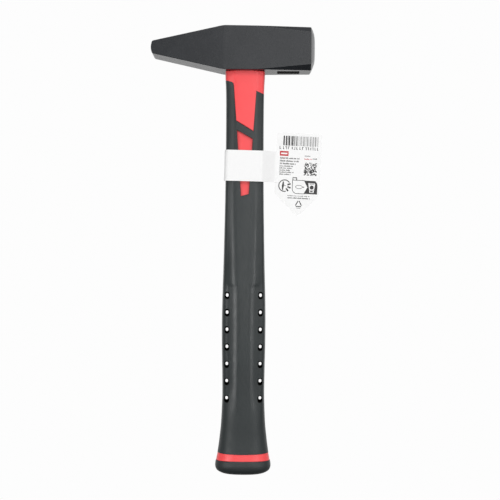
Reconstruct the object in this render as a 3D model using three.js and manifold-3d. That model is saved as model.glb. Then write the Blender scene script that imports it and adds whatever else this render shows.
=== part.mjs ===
// Engineer's cross-peen hammer, 800 g class, with a fibreglass-cored two-colour handle and a hang tag.
// Millimetres. +Z runs up the handle, the striking face looks along +X and the peen along -X.
// Heights are measured from a base line 1 mm below the butt; the finished group is then moved so that
// its origin is on the handle's axis, in the middle of the grip.
import * as THREE from 'three';
import { ConvexGeometry } from 'three/addons/geometries/ConvexGeometry.js';
import { mergeVertices } from 'three/addons/utils/BufferGeometryUtils.js';
import Module from 'manifold-3d';

const wasm = await Module();
wasm.setup();

// ---- driving dimensions -------------------------------------------------------------------------
const GRIP_CENTRE = 100; // height of the origin above the base line
const GAP = 0.3; // clearance between neighbouring pieces
const FAR = 60; // reach of a cutting tool beyond the handle
const CLEAR = 1; // how far a cutting tool runs past the surface it cuts

const HEAD_TOP = 351.4;
const HEAD_BOTTOM = 317.1;
const HEAD_MIDDLE = (HEAD_TOP + HEAD_BOTTOM) / 2;
const BODY_DEPTH = 33.6; // cheek to cheek, from the peen's root to the face
const FACE_X = 54.4; // middle of the striking face
const RIM_X = 51.1; // where the four sides end and the crown of the face begins
const FACE_HEIGHT = 33.6;
const PEEN_X = -73.4; // tip of the peen
const PEEN_ROOT_X = -16.9; // where the body starts to narrow
const PEEN_TIP_HEIGHT = 9.4; // before the nose's corners are rounded
const PEEN_TIP_DEPTH = 31.0;
const NOSE_BOW = 0.5; // how far the nose bulges between its two corners
const NOSE_FLAT = 3.5; // height above and below the middle line at which the corners begin
const NOSE_REACH = 1.2; // how far the corners run along the flanks
const CHAMFER_START_X = 8; // the long edges are chamfered from here to the rim
const CHAMFER = 4.3; // leg of the chamfer at the rim
const EYE = { halfWidth: 13.0, halfDepth: 8.6, waist: 0.8, squareness: 2.4 };
const PANEL = { x: 33.8, y: 0.5, length: 17.4, width: 15, depth: 0.5 }; // recess under the head

// The crown of the face: sections of the rim's shape, each with its size against the rim and its x.
const CROWN = [
  [1, RIM_X],
  [0.93, 51.8],
  [0.84, 52.6],
  [0.66, 53.75],
  [0.45, 54.25],
  [0.24, FACE_X],
];
const BEHIND_HEAD = [2.2, PEEN_X - CLEAR]; // a section that is larger than the whole head

const CORE = { halfWidth: 9.0, halfDepth: 6.0, squareness: 3, bottom: 6, top: HEAD_TOP - 1.4 };
const RESIN = { bottom: HEAD_BOTTOM + 2.6, top: HEAD_TOP - 0.9 };
const DAM = { bottom: HEAD_BOTTOM + 0.2, top: HEAD_BOTTOM + 2.3 };

const COLLAR_TOP = HEAD_BOTTOM - GAP;
const COLLAR_FULL_ABOVE = 311.6; // above this the collar is as wide as the black skin below it
const JACKET_BOTTOM = 4.5;
const JACKET_GRIP = { halfWidth: 10.6, halfDepth: 7.8, squareness: 3 }; // inside the grip
const JACKET_NECK = { halfWidth: 12.4, halfDepth: 9.6, squareness: 4 }; // inside the neck
const JACKET_STEP = [150, 200]; // heights between which the jacket widens
const JACKET_TOP = COLLAR_TOP - 2; // top of the tube inside the collar
const SKIN_DROP = 0.25; // the red panels lie this much below the black surface

const RING_BOTTOM = 12.4;
const RING_TOP = 18.4;

const SLOT = { rows: 7, lowest: 60.8, pitch: 13.46, x: 13.1, width: 3.0, height: 5.0 };

const LABEL_THICKNESS = 0.45;
const BAND = {
  bottom: 230.8,
  height: 24.1,
  turn: 1.3, // degrees, clockwise from the front
  left: -15.3, // inside of the loop, beyond the handle's edge
  right: 14.0, // where the loop leaves the handle
  meet: 20.0, // where its two ends come together
  halfDepth: 12.45, // inside of the loop
  corner: 3.2,
  lap: 3.2, // how far both ends reach over the tag
};
const TAG = {
  left: 24.0,
  right: 59.0,
  top: 268.6,
  shoulder: 221,
  tip: 203.8,
  tipX: 43.1,
  turn: 2.5,
  y: -6,
  corner: 1.5, // cut off the two upper corners
};
// Half widths of the tag's blunt tip, each with its height above the tip.
const TAG_TIP = [[3.5, 1.2], [1.75, 0.2]];

// The outside of the handle: height, half width, half depth, squareness of the section.
const HANDLE = [
  [RING_BOTTOM, 21.15, 13.9, 2.6],
  [RING_TOP, 20.0, 13.4, 2.6],
  [27.1, 18.8, 12.95, 2.7],
  [33.4, 18.1, 12.8, 2.8],
  [39.7, 17.45, 12.75, 2.9],
  [52.3, 16.8, 12.7, 3.0],
  [64.9, 16.5, 12.7, 3.0],
  [83.8, 16.7, 12.8, 3.0],
  [102.7, 17.05, 12.9, 3.0],
  [121.6, 17.15, 12.9, 3.0],
  [140.5, 16.85, 12.7, 3.2],
  [165.7, 16.15, 12.3, 3.6],
  [191.0, 15.6, 12.0, 4.4],
  [216.0, 15.15, 11.8, 5.0],
  [257.0, 14.8, 11.7, 5.0],
  [294.8, 14.85, 11.7, 5.0],
  [306.0, 15.15, 12.0, 5.0],
  [312.2, 15.55, 12.3, 5.0],
  [315.8, 15.55, 12.3, 5.0],
  [COLLAR_TOP, 14.8, 11.5, 5.0],
];

// The rubber butt below the ring: the same four numbers.
const BUTT = [
  [1.0, 9.5, 5.4, 2.3],
  [1.5, 13.8, 8.6, 2.3],
  [2.5, 17.2, 11.2, 2.4],
  [4.2, 20.1, 13.2, 2.5],
  [6.2, 21.4, 14.1, 2.6],
  [8.2, 21.8, 14.4, 2.6],
  [10.4, 21.65, 14.2, 2.6],
  [RING_BOTTOM - GAP, 21.2, 13.9, 2.6],
];

// Outline, seen from the front, above which the jacket shows as the collar and the long red stripe.
const COLLAR_OUTLINE = [
  [-FAR, HEAD_TOP],
  [-FAR, 310.2],
  [-14.6, 309.2],
  [-10.6, 308.0],
  [-9.4, 307.0],
  [-8.9, 305.1],
  [-6.8, 277.8],
  [6.8, 269.5],
  [8.9, 301.0],
  [15.0, 298.7],
  [FAR, 297.8],
  [FAR, HEAD_TOP],
];

// Outline of the lower red window.
const WINDOW_OUTLINE = [
  [-6.1, 270.5],
  [-2.7, 219.0],
  [3.3, 220.8],
  [6.2, 263.7],
];

// ---- solids -------------------------------------------------------------------------------------
function toSolid(geometry) {
  const bare = geometry.clone();
  bare.deleteAttribute('normal');
  bare.deleteAttribute('uv');
  const merged = mergeVertices(bare, 1e-4);
  return new wasm.Manifold(new wasm.Mesh({
    numProp: 3,
    vertProperties: new Float32Array(merged.attributes.position.array),
    triVerts: new Uint32Array(merged.index.array),
  }));
}

function toGeometry(solid) {
  const mesh = solid.getMesh();
  const geometry = new THREE.BufferGeometry();
  geometry.setAttribute('position', new THREE.BufferAttribute(mesh.vertProperties, 3));
  geometry.setIndex(new THREE.BufferAttribute(mesh.triVerts, 1));
  geometry.computeVertexNormals();
  return geometry;
}

// A closed rounded section in the XY plane: an ellipse whose sides straighten as squareness grows.
function section(height, halfWidth, halfDepth, squareness, segments = 48) {
  const power = 2 / squareness;
  const ring = [];
  for (let i = 0; i < segments; i += 1) {
    const angle = (2 * Math.PI * i) / segments;
    const c = Math.cos(angle);
    const s = Math.sin(angle);
    ring.push(new THREE.Vector3(
      halfWidth * Math.sign(c) * Math.abs(c) ** power,
      halfDepth * Math.sign(s) * Math.abs(s) ** power,
      height,
    ));
  }
  return ring;
}

// A closed skin through rings that follow one another upwards.
function loft(rings) {
  const count = rings[0].length;
  const points = rings.flat();
  const bottomCentre = points.length;
  const topCentre = bottomCentre + 1;
  const last = (rings.length - 1) * count;
  points.push(new THREE.Vector3(0, 0, rings[0][0].z));
  points.push(new THREE.Vector3(0, 0, rings[rings.length - 1][0].z));
  const faces = [];
  for (let i = 0; i < count; i += 1) {
    const next = (i + 1) % count;
    faces.push(bottomCentre, next, i);
    faces.push(topCentre, last + i, last + next);
    for (let level = 0; level < last; level += count) {
      faces.push(level + i, level + next, level + count + next);
      faces.push(level + i, level + count + next, level + count + i);
    }
  }
  const geometry = new THREE.BufferGeometry().setFromPoints(points);
  geometry.setIndex(faces);
  return toSolid(geometry);
}

// The handle's outside, or the butt's, grown by a margin and made as tall as wanted at each end.
function shell(stations, margin = 0) {
  return loft(stations.map(([z, w, d, n]) => section(z, w + margin, d + margin, n)));
}

// A straight bar of one section between two heights.
function bar({ halfWidth, halfDepth, squareness }, bottom, top, margin = 0) {
  return loft([bottom, top].map((z) => section(z, halfWidth + margin, halfDepth + margin, squareness)));
}

// An outline in the XZ plane pushed through the whole depth, or through part of it.
function prismAlongY(outline, front = -FAR, back = FAR) {
  const shape = new THREE.Shape(outline.map(([x, z]) => new THREE.Vector2(x, z)));
  const geometry = new THREE.ExtrudeGeometry(shape, { depth: back - front, bevelEnabled: false });
  geometry.rotateX(Math.PI / 2);
  geometry.translate(0, back, 0);
  return toSolid(geometry);
}

// An outline in the XY plane pushed upwards between two heights.
function prismAlongZ(outline, bottom, top) {
  const shape = new THREE.Shape(outline.map(([x, y]) => new THREE.Vector2(x, y)));
  const geometry = new THREE.ExtrudeGeometry(shape, { depth: top - bottom, bevelEnabled: false });
  geometry.translate(0, 0, bottom);
  return toSolid(geometry);
}

function box(x0, x1, y0, y1, z0, z1) {
  const geometry = new THREE.BoxGeometry(x1 - x0, y1 - y0, z1 - z0);
  geometry.translate((x0 + x1) / 2, (y0 + y1) / 2, (z0 + z1) / 2);
  return toSolid(geometry);
}

// Moves every edge of an outline sideways by a distance: inwards when it is positive and the
// outline runs anticlockwise.
function inset(outline, distance) {
  const count = outline.length;
  return outline.map((point, i) => {
    const before = outline[(i + count - 1) % count];
    const after = outline[(i + 1) % count];
    const a = new THREE.Vector2(point[0] - before[0], point[1] - before[1]).normalize();
    const b = new THREE.Vector2(after[0] - point[0], after[1] - point[1]).normalize();
    const reach = distance / (1 + a.dot(b));
    return [point[0] - (a.y + b.y) * reach, point[1] + (a.x + b.x) * reach];
  });
}

// ---- head ---------------------------------------------------------------------------------------
// The head seen from the front. The nose bulges a little, and its corners run into the flanks.
function headSideOutline() {
  const slope = (HEAD_TOP - HEAD_BOTTOM - PEEN_TIP_HEIGHT) / 2 / (PEEN_ROOT_X - PEEN_X);
  const lean = (2 * NOSE_BOW) / NOSE_FLAT;
  const rise = (PEEN_TIP_HEIGHT / 2 + slope * NOSE_BOW - NOSE_FLAT) / (1 - lean * slope);
  const start = new THREE.Vector2(PEEN_X + NOSE_BOW, NOSE_FLAT);
  const corner = new THREE.Vector2(start.x + lean * rise, start.y + rise);
  const end = new THREE.Vector2(corner.x + NOSE_REACH, corner.y + slope * NOSE_REACH);
  const bend = new THREE.QuadraticBezierCurve(end, corner, start).getPoints(5);
  const upper = bend.map((point) => [point.x, HEAD_MIDDLE + point.y]);
  const lower = bend.map((point) => [point.x, HEAD_MIDDLE - point.y]).reverse();
  const nose = [2 / 3, 1 / 3, 0, -1 / 3, -2 / 3].map((part) => (
    [PEEN_X + NOSE_BOW * part * part, HEAD_MIDDLE + NOSE_FLAT * part]
  ));
  return [
    ...upper,
    ...nose,
    ...lower,
    [PEEN_ROOT_X, HEAD_BOTTOM],
    [FACE_X, HEAD_BOTTOM],
    [FACE_X, HEAD_BOTTOM + FACE_HEIGHT],
    [RIM_X, HEAD_BOTTOM + FACE_HEIGHT],
    [PEEN_ROOT_X, HEAD_TOP],
  ];
}

function headPlanOutline() {
  return [
    [PEEN_X, -PEEN_TIP_DEPTH / 2],
    [PEEN_ROOT_X, -BODY_DEPTH / 2],
    [FACE_X, -BODY_DEPTH / 2],
    [FACE_X, BODY_DEPTH / 2],
    [PEEN_ROOT_X, BODY_DEPTH / 2],
    [PEEN_X, PEEN_TIP_DEPTH / 2],
  ];
}

// A blunt cone along X whose front is the crown of the face. Everything outside it is cut away.
function crownEnvelope() {
  const halfDepth = BODY_DEPTH / 2;
  const halfHeight = FACE_HEIGHT / 2;
  const points = [];
  for (const [size, x] of [...CROWN, BEHIND_HEAD]) {
    for (const sideY of [-1, 1]) {
      for (const sideZ of [-1, 1]) {
        for (const [y, z] of [[halfDepth, halfHeight - CHAMFER], [halfDepth - CHAMFER, halfHeight]]) {
          points.push(new THREE.Vector3(x, sideY * size * y, HEAD_BOTTOM + halfHeight + sideZ * size * z));
        }
      }
    }
  }
  return toSolid(new ConvexGeometry(points));
}

// One long chamfer: a wedge over one of the four long edges that grows towards the face.
function chamferCutter(sideY, sideZ) {
  const edgeY = (sideY * BODY_DEPTH) / 2;
  const edgeZ = HEAD_BOTTOM + FACE_HEIGHT / 2 + (sideZ * FACE_HEIGHT) / 2;
  const outside = 6; // how far the wedge stands outside the edge
  const run = RIM_X - CHAMFER_START_X;
  const points = [];
  for (const part of [0, 2]) {
    const leg = CHAMFER * part;
    for (const [y, z] of [[outside, outside], [-leg - outside, outside], [outside, -leg - outside]]) {
      points.push(new THREE.Vector3(CHAMFER_START_X + run * part, edgeY + sideY * y, edgeZ + sideZ * z));
    }
  }
  return toSolid(new ConvexGeometry(points));
}

// The waisted eye: widest at the top and at the bottom of the head, narrowest between them.
function eyeSolid(margin, bottom, top) {
  const inside = (z) => z > bottom && z < top;
  const heights = [bottom, ...[HEAD_MIDDLE].filter(inside), top];
  return loft(heights.map((z) => {
    const rise = Math.min(1, Math.abs(z - HEAD_MIDDLE) / (HEAD_TOP - HEAD_MIDDLE));
    const growth = EYE.waist * rise - margin;
    return section(z, EYE.halfWidth + growth, EYE.halfDepth + growth, EYE.squareness);
  }));
}

function hammerHead() {
  let head = prismAlongY(headSideOutline());
  head = head.intersect(prismAlongZ(headPlanOutline(), HEAD_BOTTOM - FAR, HEAD_TOP + FAR));
  head = head.intersect(crownEnvelope());
  for (const sideY of [-1, 1]) {
    for (const sideZ of [-1, 1]) {
      head = head.subtract(chamferCutter(sideY, sideZ));
    }
  }
  const { x, y, length, width, depth } = PANEL;
  head = head.subtract(box(
    x - length / 2,
    x + length / 2,
    y - width / 2,
    y + width / 2,
    HEAD_BOTTOM - CLEAR,
    HEAD_BOTTOM + depth,
  ));
  return head.subtract(eyeSolid(0, HEAD_BOTTOM - CLEAR, HEAD_TOP + CLEAR));
}

function eyeResin() {
  const poured = eyeSolid(GAP, RESIN.bottom, RESIN.top);
  return poured.subtract(bar(CORE, RESIN.bottom - CLEAR, RESIN.top + CLEAR, GAP));
}

function resinDam() {
  const washer = eyeSolid(GAP, DAM.bottom, DAM.top);
  return washer.subtract(bar(CORE, DAM.bottom - CLEAR, DAM.top + CLEAR, GAP));
}

// ---- handle -------------------------------------------------------------------------------------
function jacketTube(margin) {
  const [low, high] = JACKET_STEP;
  const stations = [
    [JACKET_BOTTOM - margin, JACKET_GRIP],
    [low, JACKET_GRIP],
    [high, JACKET_NECK],
    [JACKET_TOP, JACKET_NECK],
  ];
  return loft(stations.map(([z, size]) => (
    section(z, size.halfWidth + margin, size.halfDepth + margin, size.squareness)
  )));
}

function handleJacket() {
  const surface = shell(HANDLE, -SKIN_DROP);
  const collar = shell(HANDLE).intersect(box(-FAR, FAR, -FAR, FAR, COLLAR_FULL_ABOVE, HEAD_TOP));
  const shown = prismAlongY(inset(COLLAR_OUTLINE, GAP)).add(prismAlongY(inset(WINDOW_OUTLINE, GAP)));
  const panels = surface.intersect(shown);
  const ring = shell(HANDLE).intersect(box(-FAR, FAR, -FAR, FAR, RING_BOTTOM, RING_TOP));
  return jacketTube(0)
    .add(panels)
    .add(collar)
    .add(ring)
    .subtract(bar(CORE, JACKET_BOTTOM - CLEAR, COLLAR_TOP + CLEAR, GAP));
}

function slotCutter(x, z) {
  const radius = SLOT.width / 2;
  const straight = SLOT.height / 2 - radius;
  const steps = 5;
  const outline = [];
  for (const [side, start] of [[1, 0], [-1, Math.PI]]) {
    for (let i = 0; i <= steps; i += 1) {
      const angle = start + (Math.PI * i) / steps;
      outline.push([x + radius * Math.cos(angle), z + side * straight + radius * Math.sin(angle)]);
    }
  }
  return prismAlongY(outline);
}

function gripOvermould() {
  let grip = shell(HANDLE).intersect(box(-FAR, FAR, -FAR, FAR, RING_TOP + GAP, HEAD_TOP));
  grip = grip.subtract(prismAlongY(COLLAR_OUTLINE)).subtract(prismAlongY(WINDOW_OUTLINE));
  grip = grip.subtract(jacketTube(GAP));
  for (let row = 0; row < SLOT.rows; row += 1) {
    for (const side of [-1, 1]) {
      grip = grip.subtract(slotCutter(side * SLOT.x, SLOT.lowest + row * SLOT.pitch));
    }
  }
  return grip;
}

function buttCap() {
  return shell(BUTT).subtract(jacketTube(GAP));
}

// ---- hang tag -----------------------------------------------------------------------------------
// Paper strip that follows a route seen from above, with its thickness laid to the outside.
function paperStrip(route, thickness, bottom, top) {
  const outer = route.map((point, i) => {
    const before = route[Math.max(i - 1, 0)];
    const after = route[Math.min(i + 1, route.length - 1)];
    const along = new THREE.Vector2(after[0] - before[0], after[1] - before[1]).normalize();
    return [point[0] + along.y * thickness, point[1] - along.x * thickness];
  });
  return prismAlongZ([...outer, ...route.slice().reverse()], bottom, top);
}

function labelBand() {
  const { bottom, height, turn, left, right, meet, halfDepth, corner, lap } = BAND;
  const hold = LABEL_THICKNESS / 2 + GAP;
  const end = TAG.left + lap;
  const steps = 4;
  const route = [[end, TAG.y + hold], [meet, TAG.y + hold], [right, halfDepth]];
  for (const [centreY, start] of [[halfDepth - corner, Math.PI / 2], [corner - halfDepth, Math.PI]]) {
    for (let i = 0; i <= steps; i += 1) {
      const angle = start + ((Math.PI / 2) * i) / steps;
      route.push([left + corner + corner * Math.cos(angle), centreY + corner * Math.sin(angle)]);
    }
  }
  route.push([right, -halfDepth], [meet, TAG.y - hold], [end, TAG.y - hold]);
  const band = paperStrip(route, LABEL_THICKNESS, bottom, bottom + height);
  return turnedClockwise(band, turn, bottom + height / 2, 0);
}

// Turns a solid in the plane seen from the front, about a point of that plane.
function turnedClockwise(solid, degrees, aboutZ, aboutX) {
  return solid
    .translate([-aboutX, 0, -aboutZ])
    .rotate([0, degrees, 0])
    .translate([aboutX, 0, aboutZ]);
}

function labelTag() {
  const { left, right, top, shoulder, tip, tipX, turn, y, corner } = TAG;
  const outline = [
    [left, top - corner],
    [left, shoulder],
    ...TAG_TIP.map(([half, height]) => [tipX - half, tip + height]),
    ...TAG_TIP.map(([half, height]) => [tipX + half, tip + height]).reverse(),
    [right, shoulder],
    [right, top - corner],
    [right - corner, top],
    [left + corner, top],
  ];
  const tag = prismAlongY(outline, y - LABEL_THICKNESS / 2, y + LABEL_THICKNESS / 2);
  return turnedClockwise(tag, turn, (top + tip) / 2, (left + right) / 2);
}

// ---- assembly -----------------------------------------------------------------------------------
const finish = (color, roughness, metalness) => (
  new THREE.MeshStandardMaterial({ color, roughness, metalness })
);
const blackLacquer = finish(0x2a2c2e, 0.35, 0.2);
const castResin = finish(0xb9a878, 0.5, 0);
const foamRubber = finish(0x303030, 0.9, 0);
const glassFibre = finish(0xd8cf9c, 0.55, 0);
const redPlastic = finish(0xe0353f, 0.4, 0);
const blackRubber = finish(0x2e3030, 0.65, 0);
const whitePaper = finish(0xf6f6f4, 0.8, 0);

const PIECES = [
  ['hammer_head', hammerHead(), blackLacquer],
  ['eye_resin', eyeResin(), castResin],
  ['resin_dam', resinDam(), foamRubber],
  ['fibreglass_core', bar(CORE, CORE.bottom, CORE.top), glassFibre],
  ['handle_jacket', handleJacket(), redPlastic],
  ['grip_overmould', gripOvermould(), blackRubber],
  ['butt_cap', buttCap(), blackRubber],
  ['label_band', labelBand(), whitePaper],
  ['label_tag', labelTag(), whitePaper],
];

const hammer = new THREE.Group();
hammer.name = 'cross_peen_hammer';
hammer.position.z = -GRIP_CENTRE;
for (const [name, solid, material] of PIECES) {
  const mesh = new THREE.Mesh(toGeometry(solid), material);
  mesh.name = name;
  hammer.add(mesh);
}

export default hammer;
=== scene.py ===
"""The looks of an engineer's cross-peen hammer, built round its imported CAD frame.

Shapes are worked out in millimetres with heights above a base line just under the butt, and placed
in the frame, in metres, by mesh_piece(). X runs from peen to face, Y from front to back.
"""

import math
import random

import bmesh
import bpy
from mathutils import Matrix, Vector


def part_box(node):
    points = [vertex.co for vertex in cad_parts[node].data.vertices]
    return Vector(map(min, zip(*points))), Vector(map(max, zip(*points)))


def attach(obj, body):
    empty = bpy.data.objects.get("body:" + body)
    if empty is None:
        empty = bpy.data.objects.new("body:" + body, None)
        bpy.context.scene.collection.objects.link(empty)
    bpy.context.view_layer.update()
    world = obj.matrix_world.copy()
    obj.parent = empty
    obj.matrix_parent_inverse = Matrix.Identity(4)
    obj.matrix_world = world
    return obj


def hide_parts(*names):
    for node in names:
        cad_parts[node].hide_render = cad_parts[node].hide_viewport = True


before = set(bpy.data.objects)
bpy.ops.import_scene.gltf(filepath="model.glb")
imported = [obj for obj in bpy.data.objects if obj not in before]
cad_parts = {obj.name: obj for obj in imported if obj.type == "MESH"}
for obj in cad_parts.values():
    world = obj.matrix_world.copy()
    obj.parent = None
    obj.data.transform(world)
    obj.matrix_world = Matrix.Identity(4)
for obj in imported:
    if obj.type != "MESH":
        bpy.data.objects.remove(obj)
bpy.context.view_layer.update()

MM = 0.001
BODY = "root"
GRIP_CENTRE = 100.0  # height of the frame's origin above the base line, in millimetres


def node_box(node):
    """A CAD node's corners in millimetres, with heights above the base line."""
    return tuple(c / MM + Vector((0, 0, GRIP_CENTRE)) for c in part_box(node))


# ---- driving dimensions, in millimetres ---------------------------------------------------------
HEAD_LOW, HEAD_HIGH = node_box("hammer_head")
PEEN_X, FACE_X = HEAD_LOW.x, HEAD_HIGH.x
HEAD_BOTTOM, HEAD_TOP = HEAD_LOW.z, HEAD_HIGH.z
HEAD_MIDDLE = (HEAD_TOP + HEAD_BOTTOM) / 2
BODY_HALF_DEPTH = HEAD_HIGH.y
RIM_X = 51.1
FACE_HEIGHT = 33.6
PEEN_ROOT_X = -16.9
PEEN_TIP_HEIGHT = 9.4
PEEN_TIP_HALF_DEPTH = 15.5
NOSE_BOW = 0.5
NOSE_CORNER = (3.5, 1.2)  # where it starts above the middle line, and its reach along the flank
ROOT_BLEND = 2.4
CHAMFER_START_X = 8.0
CHAMFER = 4.3
EDGE_RADIUS = 0.45
RIM_RADIUS = 0.5
EYE = (13.0, 8.6, 2.4)  # half width, half depth and squareness where it is narrowest
EYE_WAIST = 0.8  # how much wider it is at the top and the bottom
PANEL_X, PANEL_Y = 33.8, 0.5
PANEL_SIZE = (17.4, 15.0)
PANEL_DEPTH = 0.5
# The crown of the face: the size of a section against the rim, and where it lies.
CROWN = [
    (0.0, FACE_X), (0.24, FACE_X), (0.45, 54.25), (0.66, 53.75),
    (0.84, 52.6), (0.93, 51.8), (1.0, RIM_X),
]
CROWN_SIZES = (0.982, 0.03)  # the first and the last section of the bare face
RIM_ROUNDING = [(0.9975, RIM_X - 0.2), (0.992, RIM_X)]  # how the sides turn into it

# Half width, half depth and squareness of the rod and of the jacket's inner tube.
CORE = (9.0, 6.0, 3.0)
JACKET_GRIP = (10.6, 7.8, 3.0)
JACKET_NECK = (12.4, 9.6, 4.0)
JACKET_STEP = (150.0, 200.0)
JACKET_BOTTOM = node_box("handle_jacket")[0].z
COLLAR_TOP = node_box("handle_jacket")[1].z
RING_BOTTOM, RING_TOP = 12.4, 18.4
RING_SAG = 0.7  # how far the ring's top line sinks in the middle
SEAM = 0.06  # gap between neighbouring mouldings
FAR = 60.0  # well past the handle's sides

SLOT_ROWS = 7
SLOT_LOWEST = 60.8
SLOT_PITCH = 13.46
SLOT_X = 13.1
SLOT_WAIST = (2.1, 2.8)  # width and height half way through the handle
SLOT_MOUTH = (3.5, 5.8)  # the same from there to the front and the back

# The outside of the handle: height, half width, half depth, squareness of the section.
HANDLE = [
    (RING_BOTTOM, 21.15, 13.9, 2.6),
    (RING_TOP, 20.0, 13.4, 2.6),
    (27.1, 18.8, 12.95, 2.7),
    (33.4, 18.1, 12.8, 2.8),
    (39.7, 17.45, 12.75, 2.9),
    (52.3, 16.8, 12.7, 3.0),
    (64.9, 16.5, 12.7, 3.0),
    (83.8, 16.7, 12.8, 3.0),
    (102.7, 17.05, 12.9, 3.0),
    (121.6, 17.15, 12.9, 3.0),
    (140.5, 16.85, 12.7, 3.2),
    (165.7, 16.15, 12.3, 3.6),
    (191.0, 15.6, 12.0, 4.4),
    (216.0, 15.15, 11.8, 5.0),
    (257.0, 14.8, 11.7, 5.0),
    (294.8, 14.85, 11.7, 5.0),
    (306.0, 15.15, 12.0, 5.0),
    (312.2, 15.55, 12.3, 5.0),
    (COLLAR_TOP, 15.55, 12.3, 5.0),
]
COLLAR_ROUND = 0.9  # radius of its top edge
COLLAR_REACH = 0.22  # how far the visible collar stands above the CAD one, nearly to the head

# The rubber butt below the red ring: the same four numbers.
BUTT = [
    (1.0, 9.5, 5.4, 2.3),
    (1.5, 13.8, 8.6, 2.3),
    (2.5, 17.2, 11.2, 2.4),
    (4.2, 20.1, 13.2, 2.5),
    (6.2, 21.4, 14.1, 2.6),
    (8.2, 21.8, 14.4, 2.6),
    (10.4, 21.65, 14.2, 2.6),
    (RING_BOTTOM, 21.2, 13.9, 2.6),
]

# Outlines seen from the front: the red collar with its long stripe, and the lower red window.
COLLAR_OUTLINE = [
    (-FAR, HEAD_TOP), (-FAR, 310.2), (-14.6, 309.2), (-10.6, 308.0), (-9.4, 307.0), (-8.9, 305.1),
    (-6.8, 277.8), (6.8, 269.5), (8.9, 301.0), (15.0, 298.7), (FAR, 297.8), (FAR, HEAD_TOP),
]
WINDOW_OUTLINE = [(-6.1, 270.5), (-2.7, 219.0), (3.3, 220.8), (6.2, 263.7)]


# ---- curves and sections ------------------------------------------------------------------------
def smooth_through(stations):
    """A function of the first number that runs smoothly through all the stations."""
    xs = [s[0] for s in stations]
    rows = [s[1:] for s in stations]

    def slope(i, k):
        a, b = max(i - 1, 0), min(i + 1, len(xs) - 1)
        return (rows[b][k] - rows[a][k]) / (xs[b] - xs[a])

    def value(x):
        x = min(max(x, xs[0]), xs[-1])
        i = max(j for j in range(len(xs) - 1) if xs[j] <= x)
        width = xs[i + 1] - xs[i]
        t = (x - xs[i]) / width
        h = (2 * t**3 - 3 * t**2 + 1, t**3 - 2 * t**2 + t, 3 * t**2 - 2 * t**3, t**3 - t**2)
        result = []
        for k in range(len(rows[0])):
            start = h[0] * rows[i][k] + h[1] * width * slope(i, k)
            result.append(start + h[2] * rows[i + 1][k] + h[3] * width * slope(i + 1, k))
        return result

    return value


def smoothstep(low, high, x):
    """0 below low, 1 above high, and a smooth rise between them."""
    t = min(max((x - low) / (high - low), 0.0), 1.0)
    return t * t * (3 - 2 * t)


def evenly(points, count):
    """count points the same distance apart, from the start of an open line to its end."""
    lengths = [0.0]
    for a, b in zip(points, points[1:]):
        lengths.append(lengths[-1] + math.dist(a, b))
    result, i = [], 0
    for k in range(count):
        target = lengths[-1] * k / (count - 1)
        while i < len(points) - 2 and lengths[i + 1] < target:
            i += 1
        a, b = points[i], points[i + 1]
        t = (target - lengths[i]) / (lengths[i + 1] - lengths[i])
        result.append((a[0] + (b[0] - a[0]) * t, a[1] + (b[1] - a[1]) * t))
    return result


def oval(half_width, half_depth, squareness, count=160, fine=480):
    """An ellipse whose sides straighten as squareness grows."""
    power = 2 / squareness
    points = []
    for i in range(fine):
        c, s = math.cos(math.tau * i / fine), math.sin(math.tau * i / fine)
        points.append((
            math.copysign(half_width * abs(c) ** power, c),
            math.copysign(half_depth * abs(s) ** power, s),
        ))
    return evenly(points + points[:1], count + 1)[:-1]


def inset(outline, distance):
    """Every edge of an anticlockwise outline moved inwards by a distance."""
    result = []
    for i, p in enumerate(outline):
        q, r = outline[i - 1], outline[(i + 1) % len(outline)]
        a = Vector((p[0] - q[0], p[1] - q[1])).normalized()
        b = Vector((r[0] - p[0], r[1] - p[1])).normalized()
        reach = distance / (1 + a.dot(b))
        result.append((p[0] - (a.y + b.y) * reach, p[1] + (a.x + b.x) * reach))
    return result


def bezier(start, corner, end, steps):
    """Points along the curve from start to end that corner pulls towards itself."""
    ts = [k / steps for k in range(steps + 1)]
    return [start * (1 - t) ** 2 + corner * 2 * t * (1 - t) + end * t**2 for t in ts]


def rounded(outline, radius, steps=4):
    """The outline with each corner replaced by a short curve."""
    most = 0.45  # of an edge's length
    result = []
    for i, corner in enumerate(outline):
        p = Vector(corner)
        q, r = Vector(outline[i - 1]), Vector(outline[(i + 1) % len(outline)])
        a = p + (q - p).normalized() * min(radius, (q - p).length * most)
        b = p + (r - p).normalized() * min(radius, (r - p).length * most)
        result += [tuple(point) for point in bezier(a, p, b, steps)]
    return result


def arc(centre, radius, start, end, steps):
    """Points round part of a circle, angles in degrees."""
    angles = [math.radians(start + (end - start) * k / steps) for k in range(steps + 1)]
    return [(centre[0] + radius * math.cos(a), centre[1] + radius * math.sin(a)) for a in angles]


# ---- mesh making --------------------------------------------------------------------------------
def mesh_piece(name, points, faces):
    """An object from points in millimetres above the base line."""
    mesh = bpy.data.meshes.new(name)
    down = Vector((0, 0, GRIP_CENTRE))
    mesh.from_pydata([(Vector(p) - down) * MM for p in points], [], faces)
    mesh.validate()
    obj = bpy.data.objects.new(name, mesh)
    bpy.context.scene.collection.objects.link(obj)
    clean = bmesh.new()
    clean.from_mesh(mesh)
    bmesh.ops.recalc_face_normals(clean, faces=clean.faces)
    clean.to_mesh(mesh)
    clean.free()
    return obj


def loft(name, rings):
    """A closed skin through rings of points, with a flat face over each end."""
    count = len(rings[0])
    points = [p for ring in rings for p in ring]
    faces = [tuple(range(count)), tuple(range(len(points) - count, len(points)))]
    for level in range(0, len(points) - count, count):
        for i in range(count):
            j = (i + 1) % count
            faces.append((level + i, level + j, level + count + j, level + count + i))
    return mesh_piece(name, points, faces)


def upright(name, stations, margin=0.0):
    """A loft through oval sections given as (height, half width, half depth, squareness)."""
    return loft(name, [
        [(x, y, z) for x, y in oval(w + margin, d + margin, n)] for z, w, d, n in stations
    ])


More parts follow.
